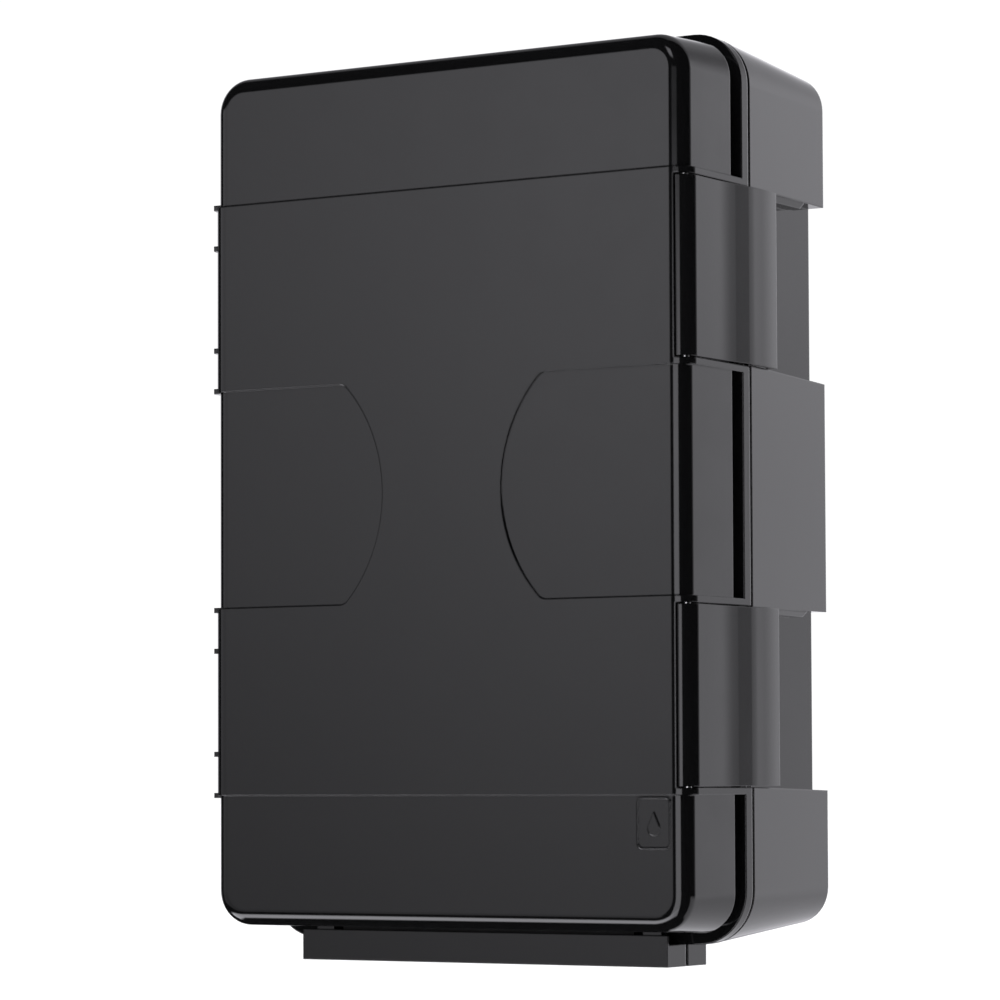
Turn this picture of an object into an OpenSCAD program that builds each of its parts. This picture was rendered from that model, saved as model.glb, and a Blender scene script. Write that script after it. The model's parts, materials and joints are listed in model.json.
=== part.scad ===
// Weatherproof wall box: a hinged two-part case with two side latches, a rim gasket
// and a split cable entry underneath. X runs right, the lid faces -Y and Z is up.
// The origin is on the wall plane, midway between the four wall fixing holes.

/* [Case] */
// Width of the case where the lid meets the base
case_w = 214.4; // [190:0.2:260]
// Height of the case where the lid meets the base
case_h = 343.8; // [330:0.2:420]
// Corner radius of the case where the lid meets the base
case_r = 20.2; // [17:0.2:24]
// Depth of the base, from the wall to the lid
base_d = 72; // [55:0.5:90]
// How much each side of the base closes in towards the wall
base_draft = 5.6; // [2:0.2:6]
// Wall thickness of the case
wall = 3; // [2.4:0.2:4]

/* [Lid] */
// Width of the lid just behind its rounded front edge
lid_w = 211.4; // [190:0.2:257]
// Height of the lid just behind its rounded front edge
lid_h = 332; // [320:1:410]
// Corner radius of the lid just behind its rounded front edge
lid_r = 13.5; // [10:0.5:18]
// Depth of the lid, from the front face to the base
lid_d = 47.6; // [40:0.2:60]
// Radius of the lid's rounded front edge
edge_r = 6; // [4:0.5:8]
// How much each side of the lid opens out towards the base
lid_draft = 1.3; // [0:0.1:2]
// Height of the raised front plate above the lid's face
plate_proud = 0.7; // [0.4:0.1:1.2]

/* [Rim] */
// Gap between the closed lid and the base
rim_gap = 0.3; // [0.2:0.1:1.2]
// Thickness of the lid's outer lip at its edge
lip_t = 4.8; // [2.4:0.2:6]
// Width of the channel in front of the lip
channel_w = 6; // [5:0.2:10]
// Depth of the channel in front of the lip
channel_d = 5.6; // [4:0.2:7]
// Depth of the shadow groove round the front of the base
groove_d = 0.8; // [0.4:0.1:1.2]
// Width of the shadow groove
groove_w = 1.4; // [0.8:0.1:2]
// Thickness of the base's front flange
flange_t = 4.6; // [4:0.2:6]
// How far the middle of the gasket lies inside the case's outline
gasket_in = 6.7; // [6:0.1:7.5]
// Width of the gasket's groove
gasket_w = 4; // [3:0.2:4.4]

/* [Bands and latches] */
// Height from the middle to the near edge of each raised band
band_z0 = 42.5; // [38:0.5:46]
// Height from the middle to the far edge of each raised band
band_z1 = 115.6; // [110:0.2:120]
// Thickness of the rails above and below each latch
rail_t = 2.6; // [2:0.2:4]
// Gap above and below each latch
latch_gap = 0.5; // [0.3:0.1:1]
// Radius of the bands' and latches' rounded front edges
latch_r = 7.2; // [6:0.1:8]
// Thickness of a latch's plate
latch_t = 2.4; // [2:0.1:3]
// How far a latch reaches back past the rim
latch_reach = 18.6; // [14:0.2:24]
// Depth of the base's finger recess behind a latch, from the rim's outline
recess_d = 12.2; // [9:0.2:14]
// Radius of the hinge and latch pins
pin_r = 1.5; // [1.2:0.1:2]

/* [Cable entry] */
// Width of the entry bar under the case
bar_w = 165; // [120:1:180]
// Height of the entry bar
bar_h = 8.4; // [8:0.2:14]
// How far the middle of the entry lies from the middle of the case
entry_x = -3.8; // [-10:0.2:10]
// Width of the rubber seals
seal_w = 132; // [100:1:140]
// Radius of each cable hole, from left to right
hole_r = [4, 7, 7, 7, 4];

/* [Inside] */
// Width of the mounting plate
board_w = 150; // [100:1:170]
// Height of the mounting plate
board_h = 200; // [120:1:220]
// Sideways distance between the wall fixing holes
wall_hole_w = 164; // [120:1:170]
// Upright distance between the wall fixing holes
wall_hole_h = 276; // [240:1:290]
// Radius of a wall fixing hole
wall_hole_r = 2.75; // [2:0.25:3.5]

/* [Hidden] */
$fn = 96;
eps = 0.1;
part_y = -base_d;             // the rim plane, where the lid meets the base
hw = case_w / 2;
hh = case_h / 2;
edge_y = -lid_d + edge_r;     // where the rounded front edge ends
lip_edge_y = -rim_gap - lip_t; // front of the lip at its edge
lip_y = lip_edge_y - 1;       // front of the lip at its root
channel_y = lip_y - channel_w;
panel_end_y = channel_y - 1.6;
band_corner_x = hw - latch_r; // centre of the raised band's rounded corner
band_corner_y = -lid_d - plate_proud + latch_r;
latch_corner_x = band_corner_x + 0.4;
pivot_x = hw - 3.7;
pivot_y = band_corner_y - 1.9;
nose_r = 4.9;                 // reach of a latch round its pin
pocket_r = nose_r + 0.3;
pocket_x = hw - 2.3;          // floor of the pocket behind a latch's plate
latch_z0 = band_z0 + rail_t + latch_gap;
latch_z1 = band_z1 - rail_t - latch_gap;
latch_h = latch_z1 - latch_z0;
zone_h = latch_h + 2 * latch_gap;
recess_z0 = latch_z0;         // the finger recess behind the upper latch
recess_z1 = band_z1 - rail_t;
recess_x = hw - recess_d;     // floor of the finger recess
catch_x = hw - 2.8;           // outer edge of the flange that a latch hooks behind
hinge_x = -hw - 4.6;
hinge_r = 4;
rib_t = 2;
rib_z = [band_z0 + 0.6, band_z0 + 16.6, band_z1 - 16.1, band_z1];
rib_out = 1.4;
sweep_r = 252;                // hollow curve of a latch's plate
sweep_y0 = -35;
sweep_y1 = -13;
bow_r = 110;                  // full curve towards its free edge
bow_y = -4;
dish_r = 60;                  // round end of the two low areas on the front
dish_x = 86.6;
dish_corner = 5;
bar_z = -hh - bar_h;
bar_front = -14.9;
bar_back = 15;
bar_split = 0.9;              // half of the gap between the two halves of the entry bar
seal_y = 11;
seal_top = -hh + 11;
seal_bottom = bar_z + 2;
hole_pitch = 24;
bar_screw_x = bar_w / 2 - 8.5;
base_screw_y = 8.5;
lid_screw_y = -9;
board_t = 2;
board_y = 59;
board_z = 10;
post_r = 5;
clamp_z = -140;
clamp_y = 24;
clamp_t = 6;
clamp_gap = 8;
clamp_x = 55;
back_y = base_d - wall;       // inside face of the back wall
pad_y = back_y - wall;

// ---- helpers; all of them work with Y measured from the rim plane ----

module from_rim() { translate([0, part_y, 0]) children(); }

module both_bands() {
    for (side = [-1, 1]) scale_z(side) children();
}

module scale_z(side) {
    if (side > 0) children();
    else mirror([0, 0, 1]) children();
}

// extrudes a front-view outline from y0 back to y1
module along_y(y0, y1) {
    translate([0, y1, 0]) rotate([90, 0, 0]) linear_extrude(y1 - y0) children();
}

// extrudes a plan-view outline between two heights
module along_z(z0, z1) {
    translate([0, 0, z0]) linear_extrude(z1 - z0) children();
}

module rounded(w, h, r) {
    square([w - 2 * r, h], center = true);
    square([w, h - 2 * r], center = true);
    for (x = [-1, 1], y = [-1, 1])
        translate([x * (w / 2 - r), y * (h / 2 - r)]) circle(r);
}

// the case's outline, drawn in by the given amount
module case_outline(inset) {
    rounded(case_w - 2 * inset, case_h - 2 * inset, case_r - inset);
}

// a block whose four sides close in by d between y0 and y1
module drafted(w, h, r, y0, y1, d) {
    linear_extrude(h - 2 * r, center = true)
        polygon([[-w / 2, y0], [w / 2, y0], [w / 2 - d, y1], [-w / 2 + d, y1]]);
    rotate([90, 0, 90]) linear_extrude(w - 2 * r, center = true)
        polygon([[y0, -h / 2], [y0, h / 2], [y1, h / 2 - d], [y1, -h / 2 + d]]);
    for (x = [-1, 1], z = [-1, 1])
        translate([x * (w / 2 - r), y0, z * (h / 2 - r)])
            rotate([-90, 0, 0]) cylinder(h = y1 - y0, r1 = r, r2 = r - d);
}

module y_cylinder(x, z, r, y0, y1) {
    translate([x, y0, z]) rotate([-90, 0, 0]) cylinder(h = y1 - y0, r = r);
}

module y_screw(x, z, y_head, head_r, shank_r, length) {
    y_cylinder(x, z, head_r, y_head - 0.7 * head_r, y_head);
    y_cylinder(x, z, shank_r, y_head - eps, y_head + length);
}

module each_pair(dx, dz) {
    for (x = [-dx, dx], z = [-dz, dz]) translate([x, 0, z]) children();
}

// ---- lid ----

// section through the lid's rounded front edge, measured from a corner's centre
module edge_section() {
    square([lid_r - edge_r, edge_r]);
    translate([lid_r - edge_r, 0]) intersection() {
        circle(edge_r);
        square(edge_r);
    }
}

// the lid's front face with its rounded edge
module lid_front() {
    side_x = lid_w / 2 - lid_r;
    side_z = lid_h / 2 - lid_r;
    translate([-side_x, -lid_d, -side_z]) cube([2 * side_x, edge_r, 2 * side_z]);
    for (flip = [0, 1]) mirror([flip, 0, 0])
        translate([side_x, edge_y, 0]) linear_extrude(2 * side_z, center = true)
            mirror([0, 1]) edge_section();
    for (flip = [0, 1]) mirror([0, 0, flip])
        translate([0, edge_y, side_z]) rotate([90, 0, 90])
            linear_extrude(2 * side_x, center = true) rotate(90) edge_section();
    for (flip_x = [0, 1], flip_z = [0, 1]) mirror([flip_x, 0, 0]) mirror([0, 0, flip_z])
        translate([side_x, edge_y, side_z]) rotate([90, 0, 0])
            rotate_extrude(angle = 90) edge_section();
}

module lid_sides() {
    end_w = lid_w + 2 * lid_draft;
    end_h = lid_h + 2 * lid_draft;
    drafted(lid_w, lid_h, lid_r, edge_y, panel_end_y, -lid_draft);
    drafted(end_w, end_h, lid_r + lid_draft, panel_end_y, channel_y, 0.8);
    along_y(channel_y - eps, lip_y + eps) case_outline(channel_d);
    drafted(case_w - 2 * channel_d, case_h - 2 * channel_d, case_r - channel_d, lip_y, lip_edge_y,
        -channel_d);
    along_y(lip_edge_y, -rim_gap) case_outline(0);
}

// plan outline of the raised band, with its rounded front corners
module band_plan() {
    y_front = -lid_d - plate_proud;
    translate([-band_corner_x, y_front])
        square([2 * band_corner_x, channel_y - y_front]);
    translate([-hw, band_corner_y]) square([2 * hw, channel_y - band_corner_y]);
    for (x = [-1, 1]) translate([x * band_corner_x, band_corner_y]) circle(latch_r);
}

// front outline of one of the two low areas beside the middle of the plate
module dish_outline() {
    corner_z = band_z0 - dish_corner;
    corner_run = sqrt(pow(dish_r - dish_corner, 2) - pow(corner_z, 2));
    corner_x = dish_x - corner_run;
    touch_z = corner_z * dish_r / (dish_r - dish_corner);
    intersection() {
        translate([dish_x, 0]) circle(dish_r, $fn = 240);
        translate([0, -touch_z]) square([dish_x, 2 * touch_z]);
    }
    for (z = [-1, 1]) translate([corner_x, z * corner_z]) circle(dish_corner);
    translate([corner_x, -band_z0]) square([hw + 5 - corner_x, 2 * band_z0]);
}

module front_plate() {
    difference() {
        along_z(-band_z1, band_z1) band_plan();
        along_y(-lid_d - 2, channel_y + 1) {
            dish_outline();
            mirror([1, 0]) dish_outline();
        }
    }
}

module latch_rails() {
    for (z = [band_z0, band_z1 - rail_t])
        along_z(z, z + rail_t) translate([band_corner_x - 2, band_corner_y])
            square([hw - band_corner_x + 2, -rim_gap - band_corner_y]);
}

// plan outline of a hinge rib, which grows into an ear round the hinge pin
module hinge_rib_plan() {
    rib_x = -hw - rib_out;
    rib_front = band_corner_y - 4.9;
    intersection() {
        translate([-band_corner_x, band_corner_y]) circle(latch_r + rib_out);
        translate([rib_x, rib_front]) square([latch_r + rib_out, 12]);
    }
    translate([rib_x, band_corner_y]) square([6, -rim_gap - band_corner_y]);
    polygon([[rib_x, -18], [hinge_x - hinge_r, -2], [hinge_x - hinge_r, 0],
        [hinge_x + 2, 0], [-hw - 0.6, -rim_gap], [rib_x + 3, -rim_gap]]);
    translate([hinge_x, 0]) circle(hinge_r);
}

module hinge_ears() {
    for (z = rib_z) along_z(z - rib_t / 2, z + rib_t / 2) hinge_rib_plan();
}

// the small raised mark at the lower right of the lid
module badge() {
    mark_w = 14.3;
    mark_h = 19.1;
    translate([lid_w / 2 - mark_w / 2 - 6.8, 0, -band_z1 - mark_h / 2 - 0.7]) {
        along_y(-lid_d - 0.35, -lid_d + eps) difference() {
            rounded(mark_w, mark_h, 2.2);
            rounded(mark_w - 1.2, mark_h - 1.2, 1.7);
        }
        along_y(-lid_d - 0.3, -lid_d + eps) {
            translate([0, -2]) circle(2.6);
            translate([0, -2]) polygon([[-2.4, 1], [0, 6.2], [2.4, 1]]);
        }
    }
}

module lid_cavity() {
    along_y(-lid_d + wall, panel_end_y - 1) rounded(lid_w - 2 * wall, lid_h - 2 * wall, 10);
    along_y(panel_end_y - 1 - eps, 1) case_outline(channel_d + wall);
}

module entry_window(y0, y1) {
    along_y(y0, y1) translate([entry_x, (seal_top - hh - 2) / 2])
        square([seal_w, seal_top + hh + 2], center = true);
}

// the room that a latch needs in the lid
module latch_pocket() {
    z0 = latch_z0 - latch_gap;
    translate([pivot_x, pivot_y, z0]) cylinder(h = zone_h, r = pocket_r);
    translate([pocket_x, pivot_y, z0]) cube([10, 3 - pivot_y, zone_h]);
}

module lid_shell() {
    color("#2b2b2d") from_rim() difference() {
        union() {
            difference() {
                union() {
                    lid_front();
                    lid_sides();
                    front_plate();
                    both_bands() latch_rails();
                    both_bands() hinge_ears();
                    badge();
                }
                lid_cavity();
            }
            both_bands() intersection() {
                translate([pivot_x, pivot_y, band_z0])
                    cylinder(h = band_z1 - band_z0, r = pocket_r + 2.2);
                along_z(0, hh) band_plan();
            }
            lid_tongue();
            for (x = [-1, 1])
                translate([entry_x + x * bar_screw_x - 5, channel_y, -hh + channel_d + 1])
                    cube([10, channel_w, 9]);
        }
        both_bands() {
            latch_pocket();
            translate([pivot_x, pivot_y, band_z0 + 0.9])
                cylinder(h = band_z1 - band_z0 - 1.8, r = pin_r);
            translate([hinge_x, 0, 0]) cylinder(h = hh, r = pin_r + 0.06);
        }
        entry_window(-seal_y, 1);
        for (x = [-1, 1])
            translate([entry_x + x * bar_screw_x, lid_screw_y, -hh]) cylinder(h = 13, r = 1.6);
    }
}

// the ridge that presses on the gasket
module lid_tongue() {
    along_y(-rim_gap - eps, 0.6) difference() {
        case_outline(gasket_in - 0.8);
        case_outline(gasket_in + 0.8);
    }
}

// ---- base ----

module base_cavity() {
    depth = back_y - flange_t;
    draft = base_draft * depth / base_d;
    difference() {
        drafted(case_w - 2 * wall, case_h - 2 * wall, case_r - wall, flange_t, back_y, draft);
        both_bands() translate([recess_x - wall, 0, band_z0 + 0.1])
            cube([hw, base_d, band_z1 - band_z0 + 0.3]);
    }
    along_y(-1, flange_t + eps) case_outline(gasket_in + gasket_w);
}

// plan outline of the finger recess, with the flange left standing as the catch
module recess_plan() {
    polygon([[recess_x, flange_t], [recess_x, base_d + 1], [hw + 5, base_d + 1], [hw + 5, -1],
        [catch_x, -1], [catch_x, flange_t]]);
}

module latch_recess() {
    difference() {
        intersection() {
            along_z(recess_z0 - 4, recess_z1 + 4) recess_plan();
            translate([hw, 0, 0]) rotate([90, 0, 90]) linear_extrude(40, center = true)
                polygon([[-2, recess_z0], [flange_t, recess_z0], [base_d + 2, recess_z0 - 1.5],
                    [base_d + 2, recess_z1 + 0.6], [flange_t, recess_z1], [-2, recess_z1]]);
        }
        recess_ledge();
    }
}

// a slanted ledge under the block above the recess
module recess_ledge() {
    z = recess_z1;
    root = recess_x - 1;
    translate([0, 53, 0]) rotate([90, 0, 0]) linear_extrude(53 - flange_t)
        polygon([[root, z + 1], [root, z - 1.9], [root + 7.2, z - 1.9], [root + 9, z],
            [root + 9, z + 1]]);
}

module hinge_barrels() {
    for (gap = [[rib_z[0], rib_z[1]], [rib_z[2], rib_z[3]]])
        along_z(gap[0] + rib_t / 2 + 0.25, gap[1] - rib_t / 2 - 0.25) {
            translate([hinge_x, 0]) circle(hinge_r);
            polygon([[hinge_x + 1, 1], [hinge_x - 3.6, 1.8], [-hw + 0.4, 15], [-hw + 3, 15],
                [-hw + 3, 0.6], [-hw, 0.6]]);
        }
}

module base_bosses() {
    each_pair(wall_hole_w / 2, wall_hole_h / 2) y_cylinder(0, 0, 8, pad_y, back_y + eps);
    translate([0, 0, board_z]) each_pair(board_w / 2 - 9, board_h / 2 - 9)
        y_cylinder(0, 0, 5, board_y + board_t, back_y + eps);
    for (x = [-1, 1]) {
        y_cylinder(entry_x + x * clamp_x, clamp_z, post_r, clamp_y + clamp_t, back_y + eps);
        translate([entry_x + x * bar_screw_x - 5, flange_t - eps, -hh + 1]) cube([10, 9, 10]);
    }
    translate([entry_x - clamp_x + 4, clamp_y + clamp_t + clamp_gap, clamp_z - 2])
        cube([2 * clamp_x - 8, back_y - clamp_y - clamp_t - clamp_gap + eps, 4]);
}

module base_shell() {
    color("#2e2e30") from_rim() difference() {
        union() {
            difference() {
                drafted(case_w, case_h, case_r, 0, base_d, base_draft);
                base_cavity();
                along_y(-1, groove_w) difference() {
                    case_outline(-5);
                    case_outline(groove_d);
                }
            }
            base_bosses();
            both_bands() hinge_barrels();
        }
        latch_recess();
        translate([0, 0, -recess_z0 - recess_z1]) latch_recess();
        along_y(-1, 3.2) difference() {
            case_outline(gasket_in - gasket_w / 2);
            case_outline(gasket_in + gasket_w / 2);
        }
        entry_window(-1, seal_y);
        each_pair(wall_hole_w / 2, wall_hole_h / 2)
            y_cylinder(0, 0, wall_hole_r, pad_y - 1, base_d + 1);
        translate([0, 0, board_z]) each_pair(board_w / 2 - 9, board_h / 2 - 9)
            y_cylinder(0, 0, 1.6, board_y, board_y + 8);
        for (x = [-1, 1]) {
            y_cylinder(entry_x + x * clamp_x, clamp_z, 1.6, clamp_y, clamp_y + 20);
            translate([entry_x + x * bar_screw_x, base_screw_y, -hh - 1])
                cylinder(h = 11, r = 1.6);
        }
        both_bands() translate([hinge_x, 0, 0]) cylinder(h = hh, r = pin_r);
    }
}

module rim_gasket() {
    color("#0c0c0c") from_rim() difference() {
        along_y(0.6, 3.2) difference() {
            case_outline(gasket_in - gasket_w / 2 + 0.1);
            case_outline(gasket_in + gasket_w / 2 - 0.1);
        }
        entry_window(-1, seal_y);
    }
}

// ---- latches and pins ----

// everything inside a latch's outer face, in plan
module latch_face_plan() {
    x = latch_corner_x + latch_r;
    lean = asin((sweep_y1 - sweep_y0) / sweep_r);
    rise = sweep_r * (1 - cos(lean));
    bow_x = x + rise + (bow_y - sweep_y1) * tan(lean);
    translate([x - latch_r, band_corner_y]) square([latch_r, sweep_y0 - band_corner_y]);
    difference() {
        translate([x - latch_r, sweep_y0]) square([latch_r + rise, sweep_y1 - sweep_y0]);
        translate([x + sweep_r, sweep_y0]) circle(sweep_r, $fn = 720);
    }
    polygon([[x - latch_r, sweep_y1], [x + rise, sweep_y1], [bow_x, bow_y], [x - latch_r, bow_y]]);
    intersection() {
        translate([x - latch_r, bow_y]) square([latch_r + 4, latch_reach - bow_y]);
        translate([bow_x - bow_r * cos(lean), bow_y + bow_r * sin(lean)]) circle(bow_r, $fn = 720);
    }
}

module latch_plan() {
    x_tip = latch_corner_x + latch_r;
    intersection() {
        translate([latch_corner_x, band_corner_y]) circle(latch_r);
        translate([pivot_x, pivot_y]) circle(nose_r);
    }
    difference() {
        latch_face_plan();
        translate([-latch_t, 0]) latch_face_plan();
    }
    translate([x_tip - 1, latch_reach - 1.5]) circle(1.5);
}

// the hook that grips behind the base's flange
module latch_hook() {
    x = catch_x - 3;
    y = flange_t + 0.35;
    translate([0, 0, latch_z0 + 7]) linear_extrude(latch_h - 14)
        polygon([[x, y + 0.6], [x + 0.6, y], [hw + 1.6, y], [hw + 1.6, y + 5], [x + 2, y + 3.4]]);
}

module latch() {
    color("#303032") from_rim() difference() {
        union() {
            along_z(latch_z0, latch_z1) latch_plan();
            latch_hook();
        }
        translate([pivot_x, pivot_y, 0]) cylinder(h = hh, r = pin_r + 0.06);
    }
}

module latch_pin() {
    color("#8f9296") from_rim() translate([pivot_x, pivot_y, band_z0 + 0.9])
        cylinder(h = band_z1 - band_z0 - 1.8, r = pin_r);
}

module hinge_pin() {
    z0 = rib_z[0] - rib_t / 2 - 0.4;
    z1 = rib_z[3] + rib_t / 2 + 0.4;
    color("#8f9296") from_rim() translate([hinge_x, 0, 0]) {
        translate([0, 0, z0]) cylinder(h = z1 - z0, r = pin_r);
        for (z = [z0 - 1, z1]) translate([0, 0, z]) cylinder(h = 1, r = pin_r + 0.9);
    }
}

module upper_latch() { latch(); }
module lower_latch() { mirror([0, 0, 1]) latch(); }
module upper_latch_pin() { latch_pin(); }
module lower_latch_pin() { mirror([0, 0, 1]) latch_pin(); }
module upper_hinge_pin() { hinge_pin(); }
module lower_hinge_pin() { mirror([0, 0, 1]) hinge_pin(); }

// ---- cable entry ----

function hole_x(i) = entry_x + (i - (len(hole_r) - 1) / 2) * hole_pitch;

module cable_holes(z0, z1, extra) {
    for (i = [0 : len(hole_r) - 1])
        translate([hole_x(i), 0, z0]) cylinder(h = z1 - z0, r = hole_r[i] + extra);
}

module entry_bar(y0, y1) {
    difference() {
        translate([entry_x - bar_w / 2, y0, bar_z]) cube([bar_w, y1 - y0, bar_h]);
        translate([entry_x - seal_w / 2, -seal_y, seal_bottom]) cube([seal_w, 2 * seal_y, bar_h]);
        cable_holes(bar_z - 1, seal_bottom + 1, 1.2);
    }
}

module base_entry_bar() {
    color("#2e2e30") from_rim() difference() {
        entry_bar(bar_split, bar_back);
        for (x = [-1, 1]) translate([entry_x + x * bar_screw_x, base_screw_y, bar_z - 1]) {
            cylinder(h = bar_h + 2, r = 1.7);
            cylinder(h = 3.4, r = 3.4);
        }
    }
}

module lid_entry_bar() {
    skirt_t = 1.2;
    color("#2b2b2d") from_rim() difference() {
        union() {
            entry_bar(bar_front, -bar_split);
            translate([entry_x - bar_w / 2, bar_front, -hh - eps]) cube([bar_w, skirt_t, 3.6]);
            for (x = [-1, 1])
                translate([entry_x + x * bar_screw_x - 4, channel_y + 0.4, -hh - eps])
                    cube([8, channel_w - 0.8, channel_d + eps]);
        }
        for (x = [-1, 1]) translate([entry_x + x * bar_screw_x, lid_screw_y, bar_z - 1]) {
            cylinder(h = 30, r = 1.7);
            cylinder(h = 3.4, r = 3.4);
        }
    }
}

module entry_seal(y0, extra) {
    difference() {
        translate([entry_x - seal_w / 2, y0, seal_bottom])
            cube([seal_w, seal_y, seal_top - seal_bottom]);
        cable_holes(seal_bottom - 1, seal_top + 1, extra);
    }
}

module base_entry_seal() { color("#111111") from_rim() entry_seal(0, 0); }
module lid_entry_seal() { color("#111111") from_rim() entry_seal(-seal_y, 0.3); }

module entry_plugs() {
    color("#1b1b1b") from_rim() {
        cable_holes(seal_bottom, seal_top + 2, 0);
        cable_holes(seal_bottom - 2, seal_bottom, 0.7);
    }
}

module z_screw(x, y, top) {
    head_z = bar_z + 2.4;
    translate([x, y, bar_z + 0.4]) cylinder(h = head_z - bar_z - 0.4, r = 3);
    translate([x, y, head_z - eps]) cylinder(h = top - head_z + eps, r = 1.6);
}

module base_bar_screws() {
    color("#b9bcc0") from_rim()
        for (x = [-1, 1]) z_screw(entry_x + x * bar_screw_x, base_screw_y, -hh + 9.5);
}

module lid_bar_screws() {
    color("#b9bcc0") from_rim()
        for (x = [-1, 1]) z_screw(entry_x + x * bar_screw_x, lid_screw_y, -hh + 12.5);
}

// ---- inside ----

module mounting_plate() {
    slot_w = 4.2;
    slot_l = 16;
    color("#c9cbce") from_rim() translate([0, 0, board_z])
        along_y(board_y, board_y + board_t) difference() {
            rounded(board_w, board_h, 8);
            for (x = [-board_w / 2 + 9, board_w / 2 - 9], z = [-board_h / 2 + 9, board_h / 2 - 9])
                translate([x, z]) circle(1.8);
            for (x = [-2 : 2], z = [-3 : 3])
                translate([x * 26, z * 25]) {
                    square([slot_w, slot_l - slot_w], center = true);
                    for (s = [-1, 1]) translate([0, s * (slot_l - slot_w) / 2]) circle(slot_w / 2);
                }
        }
}

module plate_screws() {
    color("#b9bcc0") from_rim() translate([0, 0, board_z])
        each_pair(board_w / 2 - 9, board_h / 2 - 9) y_screw(0, 0, board_y, 3.6, 1.6, 8);
}

module cable_clamp() {
    color("#3a3a3c") from_rim() difference() {
        translate([entry_x, 0, clamp_z]) along_y(clamp_y, clamp_y + clamp_t)
            rounded(2 * clamp_x + 14, 12, 5);
        for (x = [-1, 1]) y_cylinder(entry_x + x * clamp_x, clamp_z, 1.8, clamp_y - 1, clamp_y + 9);
        for (i = [1 : 3]) translate([hole_x(i), clamp_y + clamp_t + 3, clamp_z - 7])
            cylinder(h = 14, r = 5);
    }
}

module clamp_screws() {
    color("#b9bcc0") from_rim()
        for (x = [-1, 1]) y_screw(entry_x + x * clamp_x, clamp_z, clamp_y, 3.6, 1.6, 19);
}

module wall_washers() {
    color("#151515") from_rim() each_pair(wall_hole_w / 2, wall_hole_h / 2) difference() {
        y_cylinder(0, 0, 6.5, pad_y - 1.6, pad_y);
        y_cylinder(0, 0, wall_hole_r + 0.35, pad_y - 2, pad_y + 1);
    }
}

base_shell();
lid_shell();
rim_gasket();
upper_latch();
lower_latch();
upper_latch_pin();
lower_latch_pin();
upper_hinge_pin();
lower_hinge_pin();
base_entry_bar();
lid_entry_bar();
base_entry_seal();
lid_entry_seal();
entry_plugs();
base_bar_screws();
lid_bar_screws();
mounting_plate();
plate_screws();
cable_clamp();
clamp_screws();
wall_washers();
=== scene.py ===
import json
import math

import bmesh
import bpy
from mathutils import Matrix, Vector


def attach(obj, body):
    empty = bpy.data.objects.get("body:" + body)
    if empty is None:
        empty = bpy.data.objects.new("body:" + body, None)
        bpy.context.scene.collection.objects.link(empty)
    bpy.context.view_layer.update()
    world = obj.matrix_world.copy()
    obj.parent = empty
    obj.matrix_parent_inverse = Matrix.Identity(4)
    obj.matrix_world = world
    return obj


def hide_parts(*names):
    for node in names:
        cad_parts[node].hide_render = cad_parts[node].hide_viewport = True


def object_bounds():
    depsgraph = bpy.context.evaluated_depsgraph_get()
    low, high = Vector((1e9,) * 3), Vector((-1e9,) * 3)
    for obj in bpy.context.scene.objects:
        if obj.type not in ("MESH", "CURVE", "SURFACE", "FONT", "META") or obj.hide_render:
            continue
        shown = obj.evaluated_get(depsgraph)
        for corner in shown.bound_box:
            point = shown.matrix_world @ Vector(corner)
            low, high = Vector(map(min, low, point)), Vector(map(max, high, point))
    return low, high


# Lengths are in metres and angles in degrees, unless a name says otherwise.

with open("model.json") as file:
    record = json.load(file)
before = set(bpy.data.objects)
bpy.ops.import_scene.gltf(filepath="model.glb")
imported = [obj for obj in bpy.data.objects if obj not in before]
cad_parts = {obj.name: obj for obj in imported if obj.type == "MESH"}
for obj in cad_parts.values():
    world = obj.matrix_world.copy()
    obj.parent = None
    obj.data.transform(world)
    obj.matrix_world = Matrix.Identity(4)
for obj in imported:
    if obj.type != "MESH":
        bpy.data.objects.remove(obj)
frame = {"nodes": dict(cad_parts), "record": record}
cad_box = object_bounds()
nodes = frame["nodes"]
scene = bpy.context.scene

# ---------------------------------------------------------------- camera

CAM_AZIMUTH = 31.7275
CAM_ELEVATION = -2.7067
CAM_ROLL = -0.2145
CAM_DISTANCE = 1.63013
CAM_TARGET = Vector((-0.003545, -0.0720, -0.03223))
SENSOR_MM = 36
LENS_MM = 150.85368
SHIFT_Y = 0.08


def direction(azimuth, elevation):
    """Unit vector towards an azimuth (0 is -Y, 90 is +X) and an elevation."""
    a, e = math.radians(azimuth), math.radians(elevation)
    return Vector((math.sin(a) * math.cos(e), -math.cos(a) * math.cos(e), math.sin(e)))


def add_camera():
    data = bpy.data.cameras.new("camera")
    cam = bpy.data.objects.new("camera", data)
    scene.collection.objects.link(cam)
    back = direction(CAM_AZIMUTH, CAM_ELEVATION)
    data.sensor_width = SENSOR_MM
    data.lens = LENS_MM
    data.shift_y = SHIFT_Y
    data.clip_start = 0.05
    data.clip_end = 100
    level = (-back).to_track_quat("-Z", "Y").to_matrix().to_4x4()
    cam.matrix_world = (Matrix.Translation(CAM_TARGET + CAM_DISTANCE * back)
                        @ level @ Matrix.Rotation(math.radians(CAM_ROLL), 4, "Z"))
    scene.camera = cam


add_camera()

# ---------------------------------------------------------------- node helpers


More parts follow.
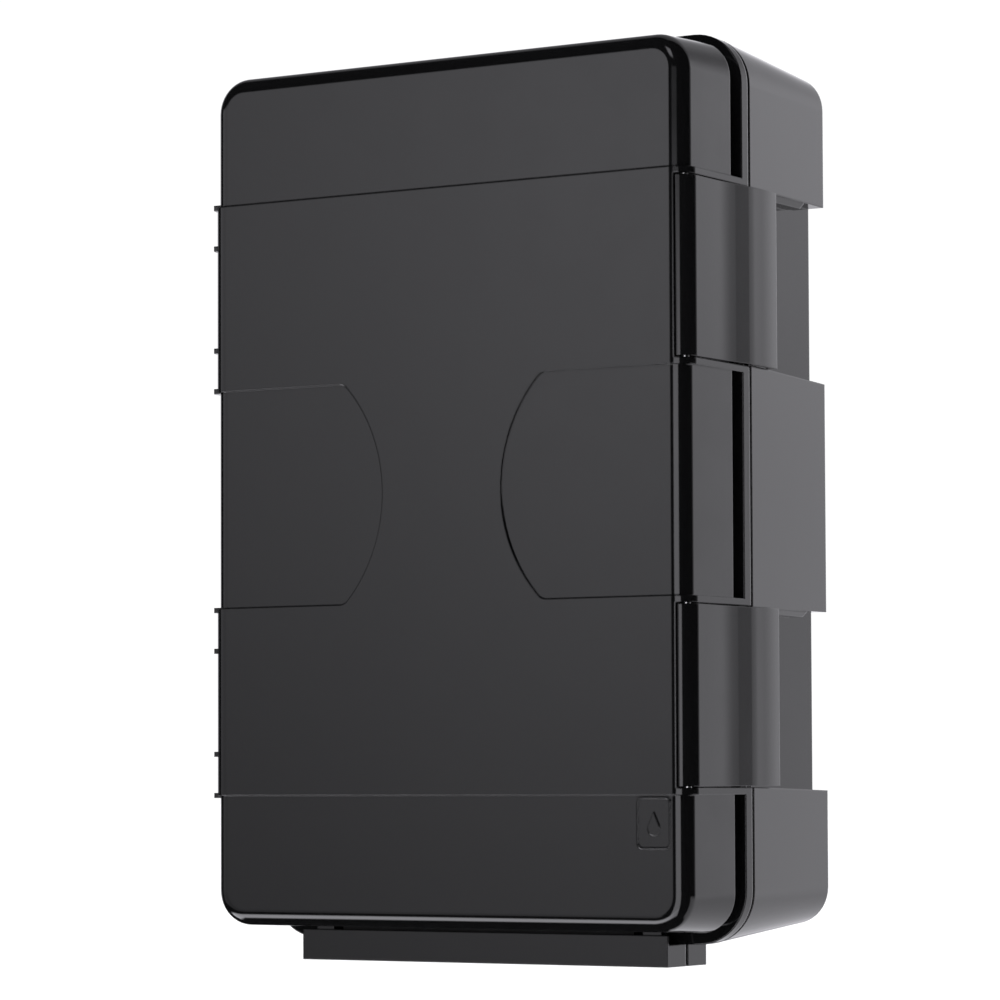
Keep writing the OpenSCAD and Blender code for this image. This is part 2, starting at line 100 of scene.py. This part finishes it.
class Tree:
    """A small wrapper that makes node trees readable."""

    def __init__(self, tree):
        self.tree = tree

    def add(self, kind, **settings):
        node = self.tree.nodes.new(kind)
        for key, value in settings.items():
            setattr(node, key, value)
        return node

    def link(self, out, into):
        self.tree.links.new(out, into)

    def feed(self, socket, value):
        """Set a socket to a number or colour, or link another socket to it."""
        if isinstance(value, (int, float, tuple)):
            socket.default_value = value
        else:
            self.link(value, socket)

    def math(self, operation, a, b=0.0):
        node = self.add("ShaderNodeMath", operation=operation)
        self.feed(node.inputs[0], a)
        self.feed(node.inputs[1], b)
        return node.outputs[0]

    def times(self, first, *others):
        """The product of two or more values."""
        product = first
        for other in others:
            product = self.math("MULTIPLY", product, other)
        return product

    def smooth(self, value, lo, hi, out_lo=0.0, out_hi=1.0):
        """A smooth step from out_lo to out_hi as the value goes from lo to hi."""
        node = self.add("ShaderNodeMapRange", interpolation_type="SMOOTHSTEP")
        self.feed(node.inputs["Value"], value)
        node.inputs["From Min"].default_value = lo
        node.inputs["From Max"].default_value = hi
        node.inputs["To Min"].default_value = out_lo
        node.inputs["To Max"].default_value = out_hi
        return node.outputs["Result"]

    def curve(self, value, points):
        """Straight lines through (value, output) points, with outputs from 0 to 2."""
        lo, hi, top = points[0][0], points[-1][0], 2.0
        place = self.smooth(value, lo, hi)
        place.node.interpolation_type = "LINEAR"
        ramp = self.add("ShaderNodeValToRGB")
        self.link(place, ramp.inputs["Fac"])
        stops = ramp.color_ramp.elements
        while len(stops) < len(points):
            stops.new(0.5)
        for stop, (at, out) in zip(stops, points):
            stop.position = (at - lo) / (hi - lo)
        for stop, (at, out) in zip(stops, points):
            stop.color = grey(out / top)
        return self.times(ramp.outputs["Color"], top)

    def mix(self, factor, a, b):
        node = self.add("ShaderNodeMix", data_type="RGBA")
        self.feed(node.inputs["Factor"], factor)
        self.feed(node.inputs["A"], a)
        self.feed(node.inputs["B"], b)
        return node.outputs["Result"]

    def noise(self, vector, scale, detail, rough=0.5):
        node = self.add("ShaderNodeTexNoise")
        self.link(vector, node.inputs["Vector"])
        node.inputs["Scale"].default_value = scale
        node.inputs["Detail"].default_value = detail
        node.inputs["Roughness"].default_value = rough
        return node.outputs["Fac"]

    def stretch(self, vector, scale):
        node = self.add("ShaderNodeMapping")
        self.link(vector, node.inputs["Vector"])
        node.inputs["Scale"].default_value = scale
        return node.outputs["Vector"]

    def bevel(self, radius):
        """Normals that round the edges off by a radius."""
        node = self.add("ShaderNodeBevel", samples=6)
        node.inputs["Radius"].default_value = radius
        return node.outputs["Normal"]

    def bump(self, height, strength, distance, normal=None):
        node = self.add("ShaderNodeBump")
        node.inputs["Strength"].default_value = strength
        node.inputs["Distance"].default_value = distance
        self.link(height, node.inputs["Height"])
        if normal is not None:
            self.link(normal, node.inputs["Normal"])
        return node.outputs["Normal"]


def new_material(name):
    """A material, its tree and shader, and the object's own coordinates."""
    mat = bpy.data.materials.new(name)
    mat.use_nodes = True
    t = Tree(mat.node_tree)
    shader = mat.node_tree.nodes["Principled BSDF"]
    where = t.add("ShaderNodeTexCoord").outputs["Object"]
    return mat, t, shader, where


def grey(v, blue=0.0):
    return (v, v, v * (1 + blue), 1)


# ---------------------------------------------------------------- world and lights

STUDIO_TINT = (0.985, 0.975, 1.03, 1)
BACKDROP_SEEN = 1.05
AMBIENT = 0.01
FLOOR_GLOW = 0.25
FLOOR_DROP = 0.16
FLOOR_HALF = 30.0


def sky_angles(t):
    """A direction's azimuth (0 is -Y), its turn (0 is +Y) and its elevation."""
    split = t.add("ShaderNodeSeparateXYZ")
    t.link(t.add("ShaderNodeTexCoord").outputs["Generated"], split.inputs[0])
    x, y, z = split.outputs
    degrees = 180 / math.pi
    az = t.times(t.math("ARCTAN2", x, t.times(y, -1.0)), degrees)
    turn = t.times(t.math("ARCTAN2", x, y), degrees)
    el = t.times(t.math("ARCSINE", z), degrees)
    return az, turn, el


def soft_box(t, az, el, left, right, low, high, soft):
    """1 inside a rectangle of directions and 0 outside it, with soft edges."""
    across = t.times(t.smooth(az, left - soft, left + soft),
                     t.smooth(az, right - soft, right + soft, 1.0, 0.0))
    upward = t.times(t.smooth(el, low - soft, low + soft),
                     t.smooth(el, high - soft, high + soft, 1.0, 0.0))
    return t.times(across, upward)


def front_light(t, az, el):
    """The wide light that the lid's front reflects, brighter to the right and higher up."""
    box = soft_box(t, az, el, left=-75, right=-26, low=-14, high=12.5, soft=1.2)
    across = t.smooth(az, lo=-39, hi=-27, out_lo=0.60, out_hi=1.16)
    upward = t.smooth(el, lo=-6, hi=10, out_lo=0.52, out_hi=1.28)
    return t.times(box, t.times(across, upward), 1.13)


def narrow_light(t, az, el):
    """The upright light to the right of the front light, fading out above."""
    box = soft_box(t, az, el, left=-7, right=28, low=-30, high=11, soft=2.0)
    return t.times(box, t.smooth(el, lo=5, hi=9.5, out_lo=2.4, out_hi=0.3))


def high_light(t, az, el):
    """A small light high up in front."""
    return t.times(soft_box(t, az, el, left=-6, right=12, low=24, high=44, soft=4.0), 2.5)


def low_light(t, az, el):
    """A bright strip low in front, which the lid's bottom edge reflects."""
    box = soft_box(t, az, el, left=-90, right=28, low=-47, high=-29, soft=3.0)
    return t.times(box, t.smooth(az, lo=-20, hi=20, out_lo=4.8, out_hi=2.8))


def backdrop_light(t, turn, el):
    """The light from behind, which the right side reflects, gone by 49 degrees towards +X."""
    glow = t.curve(turn, [(-80, 0.0), (-60, 0.8), (0, 1.2), (20, 1.12), (28, 1.0), (34, 1.28),
                          (36, 0.85), (38.5, 0.45), (42, 0.22), (49, 0.0), (60, 0.0)])
    above = t.times(t.smooth(el, lo=-12, hi=-4), t.smooth(el, lo=3, hi=10, out_lo=1.0, out_hi=1.2),
                    t.smooth(el, lo=10, hi=32, out_lo=1.0, out_hi=0.30))
    return t.times(glow, above)


def far_floor_light(t, turn, el):
    """The light from below the horizon behind the box and to its right."""
    low = t.times(t.smooth(el, lo=-12, hi=-4, out_lo=1.0, out_hi=0.0), t.smooth(el, lo=-60, hi=-50))
    side = t.times(t.smooth(turn, lo=-28, hi=-22), t.smooth(turn, lo=76, hi=84, out_lo=1.0, out_hi=0.0))
    return t.times(low, side, 0.95)


def add_world():
    """Soft lights by direction for the surfaces, and a plain white backdrop for the camera."""
    world = bpy.data.worlds.new("studio")
    scene.world = world
    world.use_nodes = True
    t = Tree(world.node_tree)
    az, turn, el = sky_angles(t)
    total = AMBIENT
    for light in (front_light(t, az, el), narrow_light(t, az, el), high_light(t, az, el),
                  low_light(t, az, el), backdrop_light(t, turn, el), far_floor_light(t, turn, el)):
        total = t.math("ADD", light, total)

    studio = t.add("ShaderNodeBackground")
    studio.inputs["Color"].default_value = STUDIO_TINT
    t.link(total, studio.inputs["Strength"])
    backdrop = t.add("ShaderNodeBackground")
    backdrop.inputs["Color"].default_value = grey(1.0)
    backdrop.inputs["Strength"].default_value = BACKDROP_SEEN
    choose = t.add("ShaderNodeMixShader")
    t.link(t.add("ShaderNodeLightPath").outputs["Is Camera Ray"], choose.inputs[0])
    t.link(studio.outputs[0], choose.inputs[1])
    t.link(backdrop.outputs[0], choose.inputs[2])
    t.link(choose.outputs[0], world.node_tree.nodes["World Output"].inputs["Surface"])


def add_floor():
    """A pale floor below the box, left out of its reflections."""
    z = cad_box[0].z - FLOOR_DROP
    mesh = bpy.data.meshes.new("floor")
    corners = [(-FLOOR_HALF, -FLOOR_HALF, z), (FLOOR_HALF, -FLOOR_HALF, z),
               (FLOOR_HALF, FLOOR_HALF, z), (-FLOOR_HALF, FLOOR_HALF, z)]
    mesh.from_pydata(corners, [], [(0, 1, 2, 3)])
    floor = bpy.data.objects.new("floor", mesh)
    scene.collection.objects.link(floor)
    mat, t, shader, where = new_material("floor_paper")
    tone = t.noise(where, scale=3.0, detail=3.0)
    t.link(t.mix(tone, grey(0.90), grey(0.93)), shader.inputs["Base Color"])
    shader.inputs["Roughness"].default_value = 0.9
    shader.inputs["Emission Color"].default_value = grey(1.0)
    shader.inputs["Emission Strength"].default_value = FLOOR_GLOW
    mesh.materials.append(mat)
    floor.visible_glossy = False


def add_sun(name, azimuth, elevation, strength, spread):
    data = bpy.data.lights.new(name, "SUN")
    data.energy = strength
    data.angle = math.radians(spread)
    sun = bpy.data.objects.new(name, data)
    scene.collection.objects.link(sun)
    sun.rotation_mode = "QUATERNION"
    sun.rotation_quaternion = direction(azimuth, elevation).to_track_quat("Z", "Y")
    sun.visible_glossy = False


add_world()
add_floor()
add_sun("overhead", azimuth=-30, elevation=70, strength=2.6, spread=50)
scene.view_settings.view_transform = "Standard"
scene.view_settings.look = "None"

# ---------------------------------------------------------------- materials


def gloss_plastic(name, tone, rounding):
    """Moulded black plastic: deep gloss, faint flow marks and softened edges."""
    mat, t, shader, where = new_material(name)
    flow = t.noise(where, scale=9.0, detail=2.0)
    t.link(t.mix(flow, grey(tone * 0.85, 0.10), grey(tone * 1.15, 0.06)), shader.inputs["Base Color"])
    haze = t.noise(where, scale=42.0, detail=4.0, rough=0.6)
    t.link(t.smooth(haze, 0.3, 0.7, 0.055, 0.095), shader.inputs["Roughness"])
    shader.inputs["IOR"].default_value = 1.5
    wave = t.noise(where, scale=28.0, detail=1.0)
    bump = t.bump(wave, strength=0.05, distance=0.0006, normal=t.bevel(rounding))
    t.link(bump, shader.inputs["Normal"])
    return mat


def rubber(name, tone):
    """Dull black rubber with a fine grain."""
    mat, t, shader, where = new_material(name)
    cloud = t.noise(where, scale=60.0, detail=3.0)
    t.link(t.mix(cloud, grey(tone * 0.7), grey(tone * 1.4)), shader.inputs["Base Color"])
    t.link(t.smooth(cloud, 0.3, 0.7, 0.50, 0.68), shader.inputs["Roughness"])
    grain = t.noise(where, scale=1400.0, detail=2.0)
    bump = t.bump(grain, strength=0.25, distance=0.0001, normal=t.bevel(0.0005))
    t.link(bump, shader.inputs["Normal"])
    return mat


def steel(name, tone, rough):
    """Bright steel with fine lines round the Z axis."""
    mat, t, shader, where = new_material(name)
    shader.inputs["Metallic"].default_value = 1.0
    lines = t.noise(t.stretch(where, (1, 1, 14)), scale=900.0, detail=3.0)
    t.link(t.mix(lines, grey(tone * 0.85), grey(tone * 1.05)), shader.inputs["Base Color"])
    t.link(t.smooth(lines, 0.25, 0.75, rough * 0.8, rough * 1.25), shader.inputs["Roughness"])
    t.link(t.bump(lines, strength=0.12, distance=0.00005), shader.inputs["Normal"])
    return mat


def galvanised(name):
    """Zinc-coated steel, with flakes that differ a little in tone and gloss."""
    mat, t, shader, where = new_material(name)
    shader.inputs["Metallic"].default_value = 1.0
    cells = t.add("ShaderNodeTexVoronoi")
    t.link(where, cells.inputs["Vector"])
    cells.inputs["Scale"].default_value = 330.0
    flake = t.add("ShaderNodeSeparateColor")
    t.link(cells.outputs["Color"], flake.inputs[0])
    t.link(t.mix(flake.outputs[0], grey(0.55, 0.03), grey(0.64, 0.03)), shader.inputs["Base Color"])
    t.link(t.smooth(flake.outputs[1], 0.0, 1.0, 0.30, 0.40), shader.inputs["Roughness"])
    fine = t.noise(where, scale=600.0, detail=3.0)
    bump = t.bump(fine, strength=0.10, distance=0.00008, normal=t.bevel(0.0003))
    t.link(bump, shader.inputs["Normal"])
    return mat


def matte_plastic(name, tone):
    """Dark plastic with a fine grain."""
    mat, t, shader, where = new_material(name)
    cloud = t.noise(where, scale=30.0, detail=3.0)
    t.link(t.mix(cloud, grey(tone * 0.85), grey(tone * 1.15)), shader.inputs["Base Color"])
    shader.inputs["Roughness"].default_value = 0.48
    grain = t.noise(where, scale=1800.0, detail=2.0)
    bump = t.bump(grain, strength=0.3, distance=0.00008, normal=t.bevel(0.0005))
    t.link(bump, shader.inputs["Normal"])
    return mat


MATERIALS = {
    "case": gloss_plastic("case_plastic", tone=0.004, rounding=0.0008),
    "latch": gloss_plastic("latch_plastic", tone=0.0045, rounding=0.0005),
    "gasket": rubber("gasket_rubber", tone=0.014),
    "seal": rubber("seal_rubber", tone=0.018),
    "plug": rubber("plug_rubber", tone=0.024),
    "washer": rubber("washer_rubber", tone=0.020),
    "pin": steel("pin_steel", tone=0.60, rough=0.26),
    "screw": steel("screw_steel", tone=0.70, rough=0.24),
    "plate": galvanised("plate_steel"),
    "clamp": matte_plastic("clamp_plastic", tone=0.055),
}

for part in frame["record"]["subparts"]:
    mesh = nodes[part["node"]].data
    mesh.materials.clear()
    mesh.materials.append(MATERIALS[part["material_slot"]])

# ---------------------------------------------------------------- turned details

SHANK_R = 0.0016
PITCH = 0.0010
# screw heads, as (radius, height)
BAR_HEAD = (0.0030, 0.0020)
INNER_HEAD = (0.0036, 0.00252)
# how far round each screw of a node has been driven
FIRST_TURN_RAD = 0.5
NEXT_TURN_RAD = 1.1
# turns a screw's tip from +Z to +Y, into the wall
INTO_WALL = Matrix.Rotation(math.radians(-90), 4, "X")
PLUG_FLANGE_W = 0.0007
PLUG_FLANGE_H = 0.0020
SCREW_SEGMENTS = 48
PLUG_SEGMENTS = 56
SHARP_ANGLE = 38


def turned(profile, segments):
    """Vertices and faces of a shape turned about Z.

    The profile is a list of (radius, height, change), and a change, where there is one, is a function
    that takes a point's radius, height and angle and gives its new radius and height."""
    verts, faces = [], []
    for radius, height, change in profile:
        for i in range(segments):
            angle = 2 * math.pi * i / segments
            r, h = change(radius, height, angle) if change else (radius, height)
            verts.append((r * math.cos(angle), r * math.sin(angle), h))
    for ring in range(len(profile) - 1):
        for i in range(segments):
            j = (i + 1) % segments
            a, b = ring * segments, (ring + 1) * segments
            faces.append((a + i, b + i, b + j, a + j))
    return verts, faces


def share(part, whole):
    """A part of a whole, held between 0 and 1."""
    return min(1.0, max(0.0, part / whole))


def screw_shape(head_r, head_h, shank_r, length):
    """A pan-head screw with a cross recess. The head's underside is at height 0 and the tip points up."""
    arm_w, arm_l, recess_h = 0.17 * head_r, 0.56 * head_r, 0.62 * head_h
    face_r, dome_h, round_h = 0.80 * head_r, 0.10 * head_h, 0.50 * head_h
    chamfer_r, chamfer_h, neck_r = 0.97 * head_r, 0.03 * head_h, 0.86 * shank_r
    thread_h, tip_r, taper = 0.19 * shank_r, 0.35 * shank_r, 0.9 * shank_r
    thread_slope = 1.6
    face_rings, round_rings, rings_per_turn = 26, 8, 8

    def dome(r):
        return dome_h * (r / head_r) ** 2 - head_h

    def recess(radius, height, angle):
        x, y = abs(radius * math.cos(angle)), abs(radius * math.sin(angle))
        inside = share(arm_w - min(x, y), 0.35 * arm_w)
        reach = share(arm_l - max(x, y), 0.30 * arm_l)
        return radius, height + recess_h * inside * reach

    def thread(radius, height, angle):
        turn = (height / PITCH - angle / (2 * math.pi)) % 1.0
        return radius - thread_h * min(1.0, abs(2 * turn - 1) * thread_slope), height

    profile = []
    for i in range(face_rings + 1):
        r = face_r * i / face_rings
        profile.append((r, dome(r), recess))
    for i in range(1, round_rings + 1):
        a = math.pi / 2 * i / round_rings
        profile.append((face_r + (head_r - face_r) * math.sin(a),
                        dome(face_r) + round_h * (1 - math.cos(a)), None))
    profile += [(head_r, -chamfer_h, None), (chamfer_r, 0.0, None), (neck_r, 0.0, None)]
    steps = int(length / PITCH * rings_per_turn)
    for i in range(1, steps + 1):
        h = length * i / steps
        profile.append((tip_r + (shank_r - tip_r) * share(length - h, taper), h, thread))
    profile.append((0.0, length, None))
    return turned(profile, SCREW_SEGMENTS)


def plug_shape(r, height):
    """A stepped rubber plug, with ring grooves and a small dimple in its end face, which faces down."""
    face_h, groove_h, groove_half = 0.0001, 0.0004, 0.0003
    dimple_r, dimple_h, dimple_edge_h = 0.0008, 0.0006, 0.0005
    grooves, round_rings, corner = 3, 6, 0.0002
    lip_r = r + PLUG_FLANGE_W
    profile = [(0.0, dimple_h, None), (dimple_r / 2, dimple_edge_h, None), (dimple_r, face_h, None)]
    for k in range(1, grooves + 1):
        mid = dimple_r + (r - 2 * dimple_r) * k / (grooves + 1)
        profile += [(mid - groove_half, face_h, None), (mid, groove_h, None),
                    (mid + groove_half, face_h, None)]
    for i in range(round_rings + 1):
        a = math.pi / 2 * i / round_rings
        profile.append((r + PLUG_FLANGE_W * math.sin(a), PLUG_FLANGE_W * (1 - math.cos(a)), None))
    profile += [(lip_r, PLUG_FLANGE_H - corner, None), (lip_r - corner, PLUG_FLANGE_H, None),
                (r, PLUG_FLANGE_H, None), (r, height - 6 * corner, None),
                (r - 2 * corner, height - 2 * corner, None), (r - 6 * corner, height, None),
                (0.0, height, None)]
    return turned(profile, PLUG_SEGMENTS)


def add_details(name, shapes, replaced, body, slot_name):
    """One object from several (vertices, faces, matrix) shapes, standing for a CAD node."""
    mesh = bpy.data.meshes.new(name)
    bm = bmesh.new()
    for (verts, faces), matrix in shapes:
        made = [bm.verts.new(matrix @ Vector(v)) for v in verts]
        for face in faces:
            bm.faces.new([made[i] for i in face])
    bmesh.ops.remove_doubles(bm, verts=bm.verts, dist=1e-7)
    bmesh.ops.recalc_face_normals(bm, faces=bm.faces)
    bm.to_mesh(mesh)
    bm.free()
    mesh.polygons.foreach_set("use_smooth", [True] * len(mesh.polygons))
    mesh.set_sharp_from_angle(angle=math.radians(SHARP_ANGLE))
    obj = bpy.data.objects.new(name, mesh)
    scene.collection.objects.link(obj)
    mesh.materials.append(MATERIALS[slot_name])
    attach(obj, body)
    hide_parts(replaced)


def islands(node):
    """Lowest and highest corner of each separate solid of a CAD node, in the order of their places."""
    bm = bmesh.new()
    bm.from_mesh(nodes[node].data)
    bmesh.ops.remove_doubles(bm, verts=bm.verts, dist=1e-6)
    left, found = set(bm.verts), []
    while left:
        group, queue = [], [left.pop()]
        while queue:
            v = queue.pop()
            group.append(v.co.copy())
            for e in v.link_edges:
                o = e.other_vert(v)
                if o in left:
                    left.remove(o)
                    queue.append(o)
        lo = Vector([min(c[i] for c in group) for i in range(3)])
        hi = Vector([max(c[i] for c in group) for i in range(3)])
        found.append((lo, hi))
    bm.free()
    return sorted(found, key=lambda f: tuple(round(v, 5) for v in f[0]))


def add_screws(node, body, upwards, head):
    """A detailed screw for each solid of a node, its tip pointing up or into the wall."""
    head_r, head_h = head
    shapes = []
    for i, (lo, hi) in enumerate(islands(node)):
        mid = (lo + hi) / 2
        turn = Matrix.Rotation(FIRST_TURN_RAD + NEXT_TURN_RAD * i, 4, "Z")
        if upwards:
            at = Matrix.Translation((mid.x, mid.y, lo.z + head_h)) @ turn
            length = hi.z - lo.z - head_h
        else:
            at = Matrix.Translation((mid.x, lo.y + head_h, mid.z)) @ INTO_WALL @ turn
            length = hi.y - lo.y - head_h
        shapes.append((screw_shape(head_r, head_h, SHANK_R, length), at))
    add_details(node + "_detail", shapes, node, body, "screw")


def add_plugs(node, body):
    """A detailed plug for each solid of a node, its flange facing down."""
    shapes = []
    for lo, hi in islands(node):
        mid = (lo + hi) / 2
        shape = plug_shape((hi.x - lo.x) / 2 - PLUG_FLANGE_W, hi.z - lo.z)
        shapes.append((shape, Matrix.Translation((mid.x, mid.y, lo.z))))
    add_details(node + "_detail", shapes, node, body, "plug")


add_screws("base_bar_screws", "base", upwards=True, head=BAR_HEAD)
add_screws("lid_bar_screws", "lid", upwards=True, head=BAR_HEAD)
add_screws("plate_screws", "base", upwards=False, head=INNER_HEAD)
add_screws("clamp_screws", "base", upwards=False, head=INNER_HEAD)
add_plugs("entry_plugs", "base")
